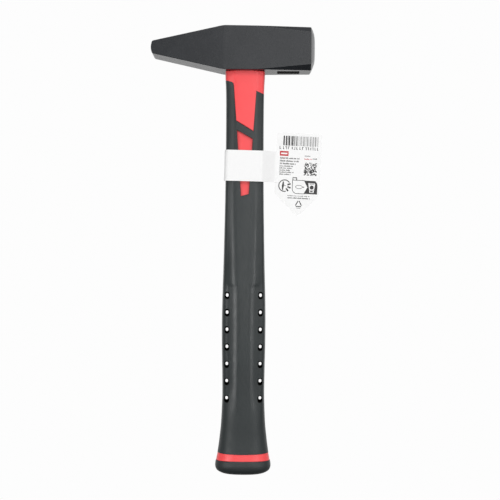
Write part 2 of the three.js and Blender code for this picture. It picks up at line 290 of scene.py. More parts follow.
def flared_prism(name, outline, steps):
    """An outline in the XZ plane run through the depth. steps holds (distance from the middle,
    inset) pairs from the middle outwards, and is mirrored to the front."""
    rings = [[(x, -y, z) for x, z in inset(outline, gap)] for y, gap in reversed(steps)]
    rings += [[(x, y, z) for x, z in inset(outline, gap)] for y, gap in steps]
    return loft(name, rings)


def combine(target, tool, operation):
    """target becomes the difference, union or intersection of itself and tool, which goes."""
    modifier = target.modifiers.new("join", "BOOLEAN")
    modifier.operation = operation
    modifier.solver = "EXACT"
    modifier.object = tool
    graph = bpy.context.evaluated_depsgraph_get()
    made = bpy.data.meshes.new_from_object(target.evaluated_get(graph))
    target.modifiers.remove(modifier)
    target.data = made
    bpy.data.objects.remove(tool)


def lined(cutter, index):
    """A cutter that leaves the material with this index on what it cuts."""
    cutter.data.polygons.foreach_set("material_index", [index] * len(cutter.data.polygons))
    return cutter


def together(objects):
    """Separate closed bodies as one object."""
    joined = bmesh.new()
    for obj in objects:
        joined.from_mesh(obj.data)
    joined.to_mesh(objects[0].data)
    joined.free()
    for obj in objects[1:]:
        bpy.data.objects.remove(obj)
    return objects[0]


def shade(obj, angle=32, weighted=True):
    """Smooth shading that keeps edges sharper than angle, with large faces staying flat."""
    for polygon in obj.data.polygons:
        polygon.use_smooth = True
    obj.data.set_sharp_from_angle(angle=math.radians(angle))
    if weighted:
        modifier = obj.modifiers.new("flat faces", "WEIGHTED_NORMAL")
        modifier.keep_sharp = True
        modifier.weight = 80


def finish_piece(obj, nodes, materials):
    """Gives the piece its materials and its body, and hides the CAD nodes it stands for."""
    indices = [polygon.material_index for polygon in obj.data.polygons]
    obj.data.materials.clear()
    for material in materials:
        obj.data.materials.append(material)
    obj.data.polygons.foreach_set("material_index", indices)
    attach(obj, BODY)
    if nodes:
        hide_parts(*nodes)


# ---- materials ----------------------------------------------------------------------------------
class Shader:
    """A Principled material and short ways to wire nodes into it."""

    def __init__(self, name, **values):
        self.material = bpy.data.materials.new(name)
        self.material.use_nodes = True
        self.tree = self.material.node_tree
        self.surface = self.tree.nodes["Principled BSDF"]
        for socket, value in values.items():
            self.surface.inputs[socket.replace("_", " ")].default_value = value
        self.place = self.node("ShaderNodeTexCoord").outputs["Object"]

    def node(self, kind, **settings):
        made = self.tree.nodes.new(kind)
        for key, value in settings.items():
            setattr(made, key, value)
        return made

    def link(self, source, target):
        self.tree.links.new(source, target)

    def stretched(self, scale):
        """Object coordinates scaled per axis."""
        mapping = self.node("ShaderNodeMapping")
        mapping.inputs["Scale"].default_value = scale
        self.link(self.place, mapping.inputs["Vector"])
        return mapping.outputs["Vector"]

    def noise(self, scale, detail=3.0, roughness=0.5, vector=None):
        made = self.node("ShaderNodeTexNoise")
        made.inputs["Scale"].default_value = scale
        made.inputs["Detail"].default_value = detail
        made.inputs["Roughness"].default_value = roughness
        self.link(vector or self.place, made.inputs["Vector"])
        return made.outputs["Fac"]

    def ramp(self, factor, low, high, start=0.3, end=0.7):
        """Values or colours from low to high as factor goes from start to end."""
        if isinstance(low, (int, float)):
            made = self.node("ShaderNodeMapRange")
            ends = {"From Min": start, "From Max": end, "To Min": low, "To Max": high}
            for key, value in ends.items():
                made.inputs[key].default_value = value
            self.link(factor, made.inputs["Value"])
            return made.outputs["Result"]
        made = self.node("ShaderNodeValToRGB")
        made.color_ramp.elements[0].position = start
        made.color_ramp.elements[0].color = (*low, 1)
        made.color_ramp.elements[1].position = end
        made.color_ramp.elements[1].color = (*high, 1)
        self.link(factor, made.inputs["Fac"])
        return made.outputs["Color"]

    def set(self, socket, source):
        self.link(source, self.surface.inputs[socket])

    def bumps(self, *layers):
        """Stacked bump layers, each (height, depth in metres)."""
        normal = None
        for height, depth in layers:
            made = self.node("ShaderNodeBump")
            made.inputs["Strength"].default_value = 1.0
            made.inputs["Distance"].default_value = depth
            self.link(height, made.inputs["Height"])
            if normal is not None:
                self.link(normal, made.inputs["Normal"])
            normal = made.outputs["Normal"]
        self.set("Normal", normal)


def black_lacquer():
    s = Shader("black_lacquer", IOR=1.5)
    cloud = s.noise(55, 4)
    s.set("Base Color", s.ramp(cloud, (0.0115, 0.0135, 0.0165), (0.0155, 0.0175, 0.021)))
    s.set("Roughness", s.ramp(s.noise(240, 5, 0.6), 0.25, 0.285))
    s.bumps((s.noise(70, 2), 0.0001), (s.noise(900, 3), 0.000007))
    return s.material


def matt_black(name, low, high, grain, ior):
    s = Shader(name, IOR=ior)
    s.set("Base Color", s.ramp(s.noise(300, 4), low, high))
    s.set("Roughness", s.ramp(s.noise(500, 3), 0.8, 0.95))
    s.bumps((s.noise(1500, 3), grain))
    return s.material


def ground_steel():
    s = Shader("ground_steel", Metallic=1.0)
    grain = s.noise(60, 6, 0.7, s.stretched((20, 300, 6)))
    s.set("Base Color", s.ramp(grain, (0.24, 0.242, 0.246), (0.35, 0.353, 0.358)))
    s.set("Roughness", s.ramp(grain, 0.24, 0.42))
    s.bumps((grain, 0.00003))
    return s.material


FLARE_DULLS = (-0.058, -0.036)  # heights in the frame, in metres, between which the gloss falls off
FLARE_ROUGHNESS = 0.13  # how much rougher the rubber is below them


def black_rubber():
    s = Shader("black_rubber", IOR=1.5, Sheen_Weight=0.04, Sheen_Roughness=0.4)
    s.set("Base Color", s.ramp(s.noise(40, 5), (0.0135, 0.0185, 0.0195), (0.0185, 0.0245, 0.0255)))
    split = s.node("ShaderNodeSeparateXYZ")
    s.link(s.place, split.inputs["Vector"])
    duller = s.node("ShaderNodeMath", operation="ADD")
    s.link(s.ramp(s.noise(160, 4), 0.28, 0.38), duller.inputs[0])
    s.link(s.ramp(split.outputs["Z"], FLARE_ROUGHNESS, 0.0, *FLARE_DULLS), duller.inputs[1])
    s.set("Roughness", duller.outputs["Value"])
    s.bumps((s.noise(110, 3), 0.00006), (s.noise(2600, 2, 0.7), 0.00003))
    return s.material


def red_plastic():
    s = Shader("red_plastic", IOR=1.49)
    s.set("Base Color", s.ramp(s.noise(45, 4), (0.9, 0.068, 0.074), (0.95, 0.078, 0.086)))
    s.set("Roughness", s.ramp(s.noise(190, 4), 0.3, 0.4))
    s.bumps((s.noise(95, 2), 0.00005), (s.noise(1900, 2), 0.000012))
    return s.material


def cast_resin():
    s = Shader("cast_resin", IOR=1.55)
    s.set("Base Color", s.ramp(s.noise(260, 5), (0.33, 0.25, 0.12), (0.5, 0.4, 0.22)))
    s.set("Roughness", s.ramp(s.noise(400, 3), 0.18, 0.4))
    s.bumps((s.noise(240, 3), 0.0002))
    return s.material


def foam_rubber():
    s = Shader("foam_rubber")
    cells = s.node("ShaderNodeTexVoronoi")
    cells.inputs["Scale"].default_value = 1600
    s.link(s.place, cells.inputs["Vector"])
    dark, pale = (0.02, 0.02, 0.02), (0.06, 0.06, 0.06)
    s.set("Base Color", s.ramp(cells.outputs["Distance"], dark, pale, 0.0, 0.6))
    s.set("Roughness", s.ramp(s.noise(500), 0.75, 0.95))
    s.bumps((cells.outputs["Distance"], 0.0002))
    return s.material


def glass_fibre():
    s = Shader("glass_fibre", IOR=1.52)
    fibres = s.noise(40, 6, 0.7, s.stretched((60, 60, 2)))
    s.set("Base Color", s.ramp(fibres, (0.42, 0.36, 0.18), (0.74, 0.68, 0.46)))
    s.set("Roughness", s.ramp(fibres, 0.35, 0.6))
    s.bumps((fibres, 0.00008))
    return s.material


def paper(name, low, high):
    s = Shader(name, IOR=1.45)
    s.set("Base Color", s.ramp(s.noise(700, 6, 0.7), low, high))
    s.set("Roughness", s.ramp(s.noise(300, 3), 0.55, 0.7))
    s.bumps((s.noise(1400, 4), 0.00001), (s.noise(60, 2), 0.00012))
    return s.material


# ---- head ---------------------------------------------------------------------------------------
FLANK_ANGLE = math.atan2((HEAD_TOP - HEAD_BOTTOM - PEEN_TIP_HEIGHT) / 2, PEEN_ROOT_X - PEEN_X)


def flank_height(x):
    """Half the head's height, from the peen's tip to the rim of the face."""
    root = (HEAD_TOP - HEAD_BOTTOM) / 2
    if x < PEEN_ROOT_X:
        return root - math.tan(FLANK_ANGLE) * (PEEN_ROOT_X - x)
    return root + (FACE_HEIGHT / 2 - root) * (x - PEEN_ROOT_X) / (RIM_X - PEEN_ROOT_X)


def half_depth(x):
    """Half the head's depth, rounded off at the peen's tip."""
    along = min((x - PEEN_X) / (PEEN_ROOT_X - PEEN_X), 1.0)
    into = min(max(x - PEEN_X - NOSE_BOW, 0) / EDGE_RADIUS, 1.0)
    rounding = EDGE_RADIUS * (1 - math.sqrt(max(1 - (1 - into) ** 2, 0)))
    return PEEN_TIP_HALF_DEPTH + (BODY_HALF_DEPTH - PEEN_TIP_HALF_DEPTH) * along - rounding


def nose_x(z):
    """The nose's gentle bulge: how far along X it lies at a height from the middle line."""
    return PEEN_X + NOSE_BOW * (z / NOSE_CORNER[0]) ** 2


def nose_corner():
    """The curve from the nose into the peen's flank."""
    low, reach = NOSE_CORNER
    start = Vector((nose_x(low), low))
    lean = Vector((2 * NOSE_BOW / low, 1))
    climb = Vector((1, math.tan(FLANK_ANGLE)))
    rise = PEEN_TIP_HEIGHT / 2 + climb.y * (start.x - PEEN_X) - low
    corner = start + lean * rise / (1 - lean.x * climb.y)
    return bezier(start, corner, corner + climb * reach, 8)


def head_stations():
    """(x, half height, half depth) from the nose's corner to just before the face's rim."""
    heights = [tuple(point) for point in nose_corner()]
    end = PEEN_ROOT_X - ROOT_BLEND
    start = heights[-1][0]
    for i in range(1, 9):
        x = start + (end - start) * i / 8
        heights.append((x, flank_height(x)))
    before, after = flank_height(end), flank_height(PEEN_ROOT_X + ROOT_BLEND)
    peak = flank_height(PEEN_ROOT_X)
    for i, height in enumerate(bezier(before, peak, after, 6)):
        if i:
            heights.append((end + 2 * ROOT_BLEND * (i / 6), height))
    last = heights[-1][0]
    for i in range(1, 15):
        x = last + (RIM_X - RIM_RADIUS - last) * i / 14
        heights.append((x, flank_height(x)))
    return [(x, height, half_depth(x)) for x, height in heights]


def head_section(x, half_height, half_width):
    """The rectangle at x with its corners chamfered and rounded, as (y, z) from the middle line."""
    grow = max(x - CHAMFER_START_X, 0) / (RIM_X - CHAMFER_START_X)
    leg = max(CHAMFER * grow, EDGE_RADIUS * (2 - math.sqrt(2)))
    reach = EDGE_RADIUS * math.tan(math.pi / 8)
    points = []
    for quarter in range(4):
        corner = []
        for turn, meet in (
            (0.0, Vector((half_width, half_height - leg))),
            (math.pi / 4, Vector((half_width - leg, half_height))),
        ):
            along = Vector((-math.sin(turn), math.cos(turn)))
            outward = Vector((math.cos(turn), math.sin(turn)))
            centre = meet - along * reach - outward * EDGE_RADIUS
            for k in range(6):
                angle = turn + math.pi / 4 * k / 5
                corner.append(centre + Vector((math.cos(angle), math.sin(angle))) * EDGE_RADIUS)
        if quarter % 2:
            corner = [Vector((-p.x, p.y)) for p in reversed(corner)]
        if quarter >= 2:
            corner = [Vector((-p.x, -p.y)) for p in corner]
        points += corner
    return [(p.x, p.y) for p in points]


def middle_height(x):
    """The height of the head's middle line. Behind the face the underside is level."""
    return HEAD_BOTTOM + flank_height(x) if x > PEEN_ROOT_X else HEAD_MIDDLE


def scaled_ring(section, size, x, middle):
    return [(x, y * size, middle + z * size) for y, z in section]


def head_rings():
    """The head's sections from nose to face, and how many of them are painted."""
    stations = head_stations()
    nose = head_section(*stations[0])
    rings = []
    for part in (0.15, 0.3, 0.45, 0.6, 0.75, 0.9):
        rings.append([(nose_x(NOSE_CORNER[0] * part), y, HEAD_MIDDLE + z * part) for y, z in nose])
    for x, half_height, half_width in stations:
        rings.append(scaled_ring(head_section(x, half_height, half_width), 1, x, middle_height(x)))
    rim = head_section(RIM_X, FACE_HEIGHT / 2, BODY_HALF_DEPTH)
    face_middle = HEAD_BOTTOM + FACE_HEIGHT / 2
    for size, x in RIM_ROUNDING:
        rings.append(scaled_ring(rim, size, x, face_middle))
    painted = len(rings)
    crown = smooth_through(CROWN)
    steps = 24
    largest, smallest = CROWN_SIZES
    for k in range(steps):
        size = largest - (largest - smallest) * k / (steps - 1)
        rings.append(scaled_ring(rim, size, crown(size)[0], face_middle))
    return rings, painted


def eye_cutter():
    """The waisted eye, run a little past the head and flared at its top edge."""
    mouth = 1.0
    width, depth, squareness = EYE
    sections = [
        (HEAD_BOTTOM - mouth, EYE_WAIST + mouth),
        (HEAD_BOTTOM + mouth, EYE_WAIST - 0.2),
        (HEAD_MIDDLE, 0.0),
        (HEAD_TOP - mouth, EYE_WAIST),
        (HEAD_TOP + mouth, EYE_WAIST + 2 * mouth),
    ]
    return upright("eye_cutter", [(z, width + grow, depth + grow, squareness) for z, grow in sections])


def panel_cutter():
    """The shallow pocket under the head, lined with a near-black matt material."""
    length, width = PANEL_SIZE[0] / 2, PANEL_SIZE[1] / 2
    sides = ((-1, -1), (1, -1), (1, 1), (-1, 1))
    outline = rounded([(PANEL_X + sx * length, PANEL_Y + sy * width) for sx, sy in sides], 1.2)
    levels = ((-1, -0.4), (PANEL_DEPTH * 0.5, 0.05), (PANEL_DEPTH, 0.2))  # each with its inset
    rings = [[(x, y, HEAD_BOTTOM + up) for x, y in inset(outline, gap)] for up, gap in levels]
    return lined(loft("panel_cutter", rings), 2)


def head_forging():
    rings, painted = head_rings()
    obj = loft("head_forging", rings)
    count = len(rings[0])
    for polygon in obj.data.polygons:
        if min(polygon.vertices) // count >= painted - 1:
            polygon.material_index = 1
    combine(obj, eye_cutter(), "DIFFERENCE")
    combine(obj, panel_cutter(), "DIFFERENCE")
    shade(obj, 24)
    finish_piece(obj, ["hammer_head"], [LACQUER, STEEL, POCKET])


# ---- handle -------------------------------------------------------------------------------------
PALM_TOP = 149.5
SPINE_HALF_WIDTH = 7.1
NECK_HALF_WIDTH = 8.7
# How far the front and back are set back from the plain oval: by the way out to the spine's edge
# (0 to 1), and from there to the handle's side (1 to 2).
RELIEF = [
    (0.0, 0.0), (0.7, 0.15), (1.0, 0.47), (1.15, 0.8), (1.3, 1.15),
    (1.5, 1.43), (1.6, 1.38), (1.75, 0.95), (1.88, 0.25), (2.0, 0.0),
]
# How strong that relief is at a height.
RELIEF_STRENGTH = [
    (RING_TOP, 0.0), (44.0, 0.1), (60.0, 0.6), (74.0, 1.0), (146.0, 1.05), (153.0, 0.8),
    (177.0, 0.7), (196.0, 0.6), (216.0, 0.5), (290.0, 0.45), (COLLAR_TOP, 0.5),
]
RUBBER_TOP = 312.5
PANEL_FRONT = 11.6  # distance from the middle at which the red panels meet the rubber's surface
CORNER = 0.35  # radius of the lower window's corners
relief_depth = smooth_through(RELIEF)
relief_strength = smooth_through(RELIEF_STRENGTH)


def palm_drop(x, z, w):
    """How far the front and back are set back beside the crowned spine."""
    spine = SPINE_HALF_WIDTH + (NECK_HALF_WIDTH - SPINE_HALF_WIDTH) * smoothstep(-2, 2, z - PALM_TOP)
    out = abs(x)
    way = out / spine if out < spine else 1 + (out - spine) / (w - spine)
    return relief_depth(way)[0] * relief_strength(z)[0]


def ring_dip(x, z, w):
    """How far a level line sinks at the middle of the front and back near the red ring's top."""
    above = smoothstep(RING_BOTTOM, RING_TOP, z) * (1 - smoothstep(RING_TOP, RING_TOP + 14, z))
    return RING_SAG * max(1 - (x / w) ** 2, 0.0) * above


def handle_ring(z, w, d, n, margin, dips):
    """One section of the handle's outside."""
    ring = []
    for x, y in oval(w + margin, d + margin, n, 176, 704):
        y -= math.copysign(palm_drop(x, z, w + margin), y)
        ring.append((x, y, z - (ring_dip(x, z, w) if dips else 0.0)))
    return ring


def handle_body(name, low, high, step, margin=0.0, dips=False, ends=0.0):
    """A stretch of the handle's outside. ends is the radius of its two end edges."""
    shape = smooth_through(HANDLE)
    rows = max(int((high - low) / step), 2)
    levels = [(low + (high - low) * i / rows, margin) for i in range(rows + 1)]
    if ends:
        turns = [math.pi / 2 * k / 6 for k in range(6, -1, -1)]
        curve = [(ends * (1 - math.sin(a)), margin - ends * (1 - math.cos(a))) for a in turns]
        middle = [level for level in levels if low + ends < level[0] < high - ends]
        lower = [(low + rise, m) for rise, m in curve]
        upper = [(high - rise, m) for rise, m in reversed(curve)]
        levels = lower + middle + upper
    return loft(name, [handle_ring(z, *shape(z), m, dips) for z, m in levels])


def jacket_tube(name, margin):
    (gw, gd, gn), (nw, nd, nn) = JACKET_GRIP, JACKET_NECK
    return upright(name, [
        (JACKET_BOTTOM - margin, gw, gd, gn),
        (JACKET_STEP[0], gw, gd, gn),
        (JACKET_STEP[1], nw, nd, nn),
        (COLLAR_TOP - 2, nw, nd, nn),
    ], margin)


def slot_ring(x, y, z, size):
    """A slot's rounded outline at one depth."""
    width, height = size
    radius = width / 2
    straight = height / 2 - radius
    points = []
    for side, start in ((1, 0), (-1, 180)):
        for px, pz in arc((x, z + side * straight), radius, start, start + 180, 8):
            points.append((px, y, pz))
    return points


def slot_cutter(x, z):
    """A hole through the grip: a deep mouth at the front and back round a narrower waist."""
    levels = [(1.2, SLOT_WAIST)]
    for y, growth in ((1.6, 0.0), (9.0, 0.1), (12.6, 1.2)):
        levels.append((y, tuple(size + growth for size in SLOT_MOUTH)))
    rings = [slot_ring(x, -y, z, size) for y, size in reversed(levels)]
    rings += [slot_ring(x, y, z, size) for y, size in levels]
    # Its walls take the near-black slot rubber: painted shade inside the hole.
    return lined(loft("slot_cutter", rings), 1)


def grip_rubber():
    low = RING_TOP + SEAM
    grip = handle_body("grip_rubber", low, RUBBER_TOP, 0.8, dips=True)
    combine(grip, jacket_tube("tube_cutter", SEAM), "DIFFERENCE")
    flare = [(0.5, 0), (PANEL_FRONT - 0.2, 0), (PANEL_FRONT + 0.3, -0.35), (PANEL_FRONT + 3, -2.0)]
    window = rounded(WINDOW_OUTLINE, CORNER)
    combine(grip, flared_prism("window_cutter", window, flare), "DIFFERENCE")
    combine(grip, flared_prism("collar_cutter", COLLAR_OUTLINE, flare), "DIFFERENCE")
    cutters = [
        slot_cutter(side * SLOT_X, SLOT_LOWEST + row * SLOT_PITCH)
        for row in range(SLOT_ROWS)
        for side in (-1, 1)
    ]
    combine(grip, together(cutters), "DIFFERENCE")
    shade(grip, 28, weighted=False)
    # The slots' walls get a near-black rubber, painted shade inside the holes.
    finish_piece(grip, ["grip_overmould"], [RUBBER, SLOT_PAINTED_SHADE])


def jacket_moulding():
    ease = [(0.5, SEAM), (PANEL_FRONT - 0.7, SEAM), (PANEL_FRONT - 0.15, 0.25), (PANEL_FRONT + 0.3, 0.9)]
    window = handle_body("window_panel", 215, 275, 0.8, -0.12)
    outline = rounded(WINDOW_OUTLINE, CORNER)
    combine(window, flared_prism("window_shape", outline, ease), "INTERSECT")
    top = COLLAR_TOP + COLLAR_REACH
    stripe = handle_body("jacket_moulding", 262, top, 0.6, -0.05, ends=COLLAR_ROUND)
    combine(stripe, flared_prism("stripe_shape", COLLAR_OUTLINE, ease), "INTERSECT")
    ring = handle_body(
        "butt_ring", RING_BOTTOM + SEAM, RING_TOP - SEAM, 0.4, -0.1, dips=True, ends=0.25
    )
    tube = jacket_tube("jacket_inside", 0.0)
    for part in (window, ring, tube):
        combine(stripe, part, "UNION")
    core = [(JACKET_BOTTOM - 1, *CORE), (COLLAR_TOP + 1, *CORE)]
    combine(stripe, upright("core_cutter", core, SEAM), "DIFFERENCE")
    shade(stripe, 28, weighted=False)
    finish_piece(stripe, ["handle_jacket"], [RED])


def butt_rubber():
    shape = smooth_through(BUTT)
    rings = []
    rows = 34
    for i in range(rows + 1):
        t = i / rows
        z = BUTT[0][0] + (RING_BOTTOM - BUTT[0][0]) * t**1.5
        w, d, n = shape(z)
        if i == rows:
            z, w, d = z - SEAM, w - 0.25, d - 0.25
        rings.append([(x, y, z) for x, y in oval(w, d, n, 176, 704)])
    butt = loft("butt_rubber", rings)
    combine(butt, jacket_tube("tube_cutter", SEAM), "DIFFERENCE")
    shade(butt, 28, weighted=False)
    finish_piece(butt, ["butt_cap"], [RUBBER])


# ---- the joint between handle and head ----------------------------------------------------------
def core_rod():
    low, high = node_box("fibreglass_core")
    rings = [(low.z, *CORE), (high.z - 0.4, *CORE), (high.z, CORE[0] - 0.4, CORE[1] - 0.4, CORE[2])]
    rod = upright("core_rod", rings)
    shade(rod)
    finish_piece(rod, ["fibreglass_core"], [FIBRE])


def eye_filling(name, node, material, dip):
    """What fills the eye round the rod between two heights, its top sagging by dip."""
    low, high = node_box(node)
    half_width, half_depth = high.x, high.y
    body = upright(name, [
        (low.z, half_width, half_depth, EYE[2]),
        (high.z - 0.3, half_width, half_depth, EYE[2]),
        (high.z - 0.3 - dip, half_width - 1.2, half_depth - 1.2, EYE[2]),
        (high.z - 0.3 - dip, half_width - 2.2, half_depth - 1.7, EYE[2]),
    ])
    core = upright("core_cutter", [(low.z - 1, *CORE), (high.z + 1, *CORE)], SEAM)
    combine(body, core, "DIFFERENCE")
    shade(body)
    finish_piece(body, [node], [material])


# ---- hang tag -----------------------------------------------------------------------------------
PAPER_THICKNESS = 0.28
BAND_HEIGHT = 24.1
BAND_TURN = 1.3  # degrees
BAND_END = 27.2  # how far both ends reach over the tag
BAND_MEET_FRONT, BAND_MEET_BACK = 24.0, 20.0  # where they reach its front and its back
BACK_RISE = 1.8  # how much higher the band's lower edge runs behind the handle
RIPPLE = 0.1


def turned(points, degrees, about):
    """Points turned clockwise as the front shows them."""
    turn = Matrix.Rotation(math.radians(degrees), 3, "Y")
    centre = Vector(about)
    return [tuple(turn @ (Vector(p) - centre) + centre) for p in points]


def smooth_route(route, count):
    """count points along a rounded version of an open route."""
    fine = []
    for a, b in zip(route, route[1:]):
        fine += [Vector(a).lerp(Vector(b), k / 20) for k in range(20)]
    fine.append(Vector(route[-1]))
    for _ in range(12):
        between = [(a + b * 2 + c) / 4 for a, b, c in zip(fine, fine[1:], fine[2:])]
        fine = [fine[0], *between, fine[-1]]
    return evenly(fine, count)


def band_route():
    """The loop seen from above: from the tag round the back, the left and the front to the tag."""
    low, high = node_box("label_band")
    tag_low, tag_high = node_box("label_tag")
    front_y = -high.y + PAPER_THICKNESS + 0.1
    tag_y = (tag_low.y + tag_high.y) / 2
    left = low.x + 0.15 + PAPER_THICKNESS
    corner = 3.4
    hold = PAPER_THICKNESS / 2 + 0.02
    flat_end, leaves = 12.8, 13.6  # where the strip starts to leave the handle's right edge
    route = [(BAND_END, tag_y + hold), (BAND_MEET_BACK, tag_y + hold)]
    route += [(leaves, -front_y), (flat_end, -front_y)]
    for centre_y, start in ((-front_y - corner, 90), (front_y + corner, 180)):
        route += arc((left + corner, centre_y), corner, start, start + 90, 8)
    route += [(flat_end, front_y), (leaves, front_y)]
    route += [(BAND_MEET_FRONT, tag_y - hold), (BAND_END, tag_y - hold)]
    return smooth_route(route, 120)


def label_band():
    low, high = node_box("label_band")
    middle = (low.z + high.z) / 2
    fine = band_route()
    rows = 12
    points, faces = [], []
    phase = random.Random(4).uniform(-1, 1)
    for side in (0, 1):
        for j in range(rows + 1):
            z = middle + BAND_HEIGHT * (j / rows - 0.5)
            for i, (x, y) in enumerate(fine):
                rise = BACK_RISE * (1 - j / rows) * smoothstep(-9, 9, y)
                a, b = fine[max(i - 1, 0)], fine[min(i + 1, len(fine) - 1)]
                along = Vector((b[0] - a[0], b[1] - a[1])).normalized()
                out = Vector((along.y, -along.x))
                s = i / (len(fine) - 1)
                free = math.sin(math.pi * s) ** 2
                ripple = RIPPLE * free * math.sin(7 * s + 2.2 * (j / rows) + phase)
                shift = side * PAPER_THICKNESS + ripple
                points.append((x + out.x * shift, y + out.y * shift, z + rise))
    count = len(fine)
    layer = count * (rows + 1)
    for side in (0, 1):
        base = side * layer
        for j in range(rows):
            for i in range(count - 1):
                a = base + j * count + i
                faces.append((a, a + 1, a + count + 1, a + count))
    border = (
        list(range(count))
        + [j * count + count - 1 for j in range(1, rows + 1)]
        + [rows * count + i for i in range(count - 2, -1, -1)]
        + [j * count for j in range(rows - 1, 0, -1)]
    )
    for a, b in zip(border, border[1:] + border[:1]):
        faces.append((a, b, b + layer, a + layer))
    band = mesh_piece("label_strip", turned(points, BAND_TURN, (0, 0, middle)), faces)
    shade(band, 50, weighted=False)
    finish_piece(band, ["label_band"], [PAPER])


TAG = {"left": 24.0, "right": 59.0, "top": 268.6, "shoulder": 221.0, "tip": 203.8, "turn": 2.5}
TAG_TIP_X = 43.1
PRINT_MIDDLE = (42.2, 236.9)


def tag_outline():
    corners = [
        (TAG["left"], TAG["top"]),
        (TAG["left"], TAG["shoulder"]),
        (TAG_TIP_X, TAG["tip"] - 1.0),
        (TAG["right"], TAG["shoulder"]),
        (TAG["right"], TAG["top"]),
    ]
    result = []
    for i, radius in enumerate((1.5, 3.0, 5.0, 3.0, 1.5)):
        from_here = corners[i:] + corners[:i]
        result += rounded(from_here, radius, 6)[:7]
    return result


def tag_bow(x, z):
    """How far the card curls towards the front."""
    u = (x - TAG["left"]) / (TAG["right"] - TAG["left"])
    v = (z - TAG["tip"]) / (TAG["top"] - TAG["tip"])
    return -0.5 * u * u * (0.4 + 0.6 * v)


def curled_card(name, outlines, y, thickness, cell=1.5):
    """Flat outlines in the XZ plane cut into cells, given a thickness and curled with the tag."""
    flat = bmesh.new()
    for outline in outlines:
        flat.faces.new([flat.verts.new((x, 0, z)) for x, z in outline])
    for axis, low, high in ((0, TAG["left"], TAG["right"]), (2, TAG["tip"], TAG["top"])):
        normal = Vector((axis == 0, 0, axis == 2))
        position = low + cell
        while position < high:
            geometry = flat.verts[:] + flat.edges[:] + flat.faces[:]
            bmesh.ops.bisect_plane(flat, geom=geometry, plane_co=normal * position, plane_no=normal)
            position += cell
    front = flat.faces[:]
    made = bmesh.ops.extrude_face_region(flat, geom=front)
    for v in made["geom"]:
        if isinstance(v, bmesh.types.BMVert):
            v.co.y = thickness
    for v in flat.verts:
        v.co.y += y + tag_bow(v.co.x, v.co.z)
    middle = ((TAG["left"] + TAG["right"]) / 2, y, (TAG["top"] + TAG["tip"]) / 2)
    flat.verts.index_update()
    points = turned([v.co for v in flat.verts], TAG["turn"], middle)
    # Sorted, because the extrusion adds its faces in another order each run.
    faces = sorted(tuple(v.index for v in f.verts) for f in flat.faces)
    flat.free()
    return mesh_piece(name, points, faces)


class Ink:
    """Flat shapes printed on the tag, in millimetres right of and above its middle."""

    def __init__(self):
        self.outlines = []

    def shape(self, points):
        middle_x, middle_z = PRINT_MIDDLE
        self.outlines.append([(middle_x + x, middle_z + z) for x, z in points])

    def block(self, left, bottom, width, height):
        right, top = left + width, bottom + height
        self.shape([(left, bottom), (right, bottom), (right, top), (left, top)])

    def band(self, inner, outer):
        """The strip between two open lines with the same number of points."""
        for i in range(len(inner) - 1):
            self.shape([inner[i], inner[i + 1], outer[i + 1], outer[i]])

    def line(self, points, width):
        """A line of even width along open points."""
        sides = ([], [])
        for i, point in enumerate(points):
            before, after = points[max(i - 1, 0)], points[min(i + 1, len(points) - 1)]
            along = (Vector(after) - Vector(before)).normalized()
            across = Vector((-along.y, along.x)) * width / 2
            for side, sign in zip(sides, (-1, 1)):
                side.append(tuple(Vector(point) + across * sign))
        self.band(*sides)

    def words(self, rng, left, bottom, length, height):
        """A row of small blocks that stands for a line of small type."""
        x = left
        while x < left + length:
            for _ in range(rng.randint(3, 8)):
                width = rng.uniform(0.28, 0.62)
                if x + width > left + length:
                    return
                self.block(x, bottom, width, height * rng.choice((0.75, 0.75, 1.0)))
                x += width + 0.2
            x += 0.5


def print_bars(ink, rng):
    """A row of bars of made-up widths, heavier on the left, with small strokes under it."""
    x = -13.1
    while x < 14.3:
        heavy = 1.0 if x < -3 else 0.6
        width = rng.choice((0.3, 0.45, 0.7, 1.1)) * heavy
        ink.block(x, 21.8, width, 7.6)
        x += width + rng.choice((0.3, 0.45, 0.75))
    x = -15.8
    while x < 14.8:
        width = rng.choice((0.9, 1.2))
        ink.block(x + rng.choice((0, width - 0.45)), 18.9, 0.45, 2.2)
        ink.block(x, 18.9 + rng.choice((0, 0.9, 1.75)), width, 0.45)
        x += width + rng.choice((0.8, 1.0, 1.5))


def print_square(ink, rng):
    """A square of scattered cells."""
    cells, size = 16, 0.63
    for row in range(cells):
        for column in range(cells):
            if rng.random() < 0.52:
                ink.block(4.0 + column * size, -0.9 + row * size, size * 0.98, size * 0.98)


def print_sorting_box(ink):
    """A rounded box: a plain ring on the left, and a beaker on a dark ground on the right."""
    left, right, bottom, top = -4.4, 15.2, -15.4, -5.0
    outline = [(left, top), (left, bottom + 3.6)]
    outline += arc((left + 3.6, bottom + 3.6), 3.6, 180, 270, 6)[1:]
    outline += [(5.4, bottom)]
    ink.line(outline, 0.45)
    ink.line([(left, top), (5.0, top)], 0.45)
    cup = [(8.0, -6.8), (13.5, -6.8), (12.4, -14.3), (9.2, -14.3)]
    ink.shape([(4.6, top), (7.4, -10.2), (4.6, bottom), (9.2, bottom), cup[3], cup[0], (8.0, top)])
    ink.shape([cup[0], cup[1], (13.5, top), (8.0, top)])
    corner = arc((right - 3.4, top - 3.4), 3.4, 90, 0, 6)
    corner.reverse()
    ink.shape([cup[1], cup[2], (12.4, bottom), (right, bottom), *corner, (13.5, top)])
    ink.shape([cup[3], cup[2], (12.4, bottom), (9.2, bottom)])
    for level in (-7.3, -7.9, -12.5):
        ink.block(9.1, level, 3.5, 0.25)
    ink.shape(arc((10.8, -10.2), 1.6, 0, 330, 11))
    ink.block(9.7, -13.8, 2.1, 0.9)
    ring = [(x * 2.7, z * 1.3) for x, z in arc((0, 0), 1, 0, 360, 20)]
    ink.line([(0.8 + x, -10.2 + z) for x, z in ring], 0.35)
    ink.block(3.3, -10.5, 1.6, 0.6)
    ink.line([(-4.2, top), (-4.2, -3.1), (-1.3, -3.1), (-1.3, top)], 0.8)


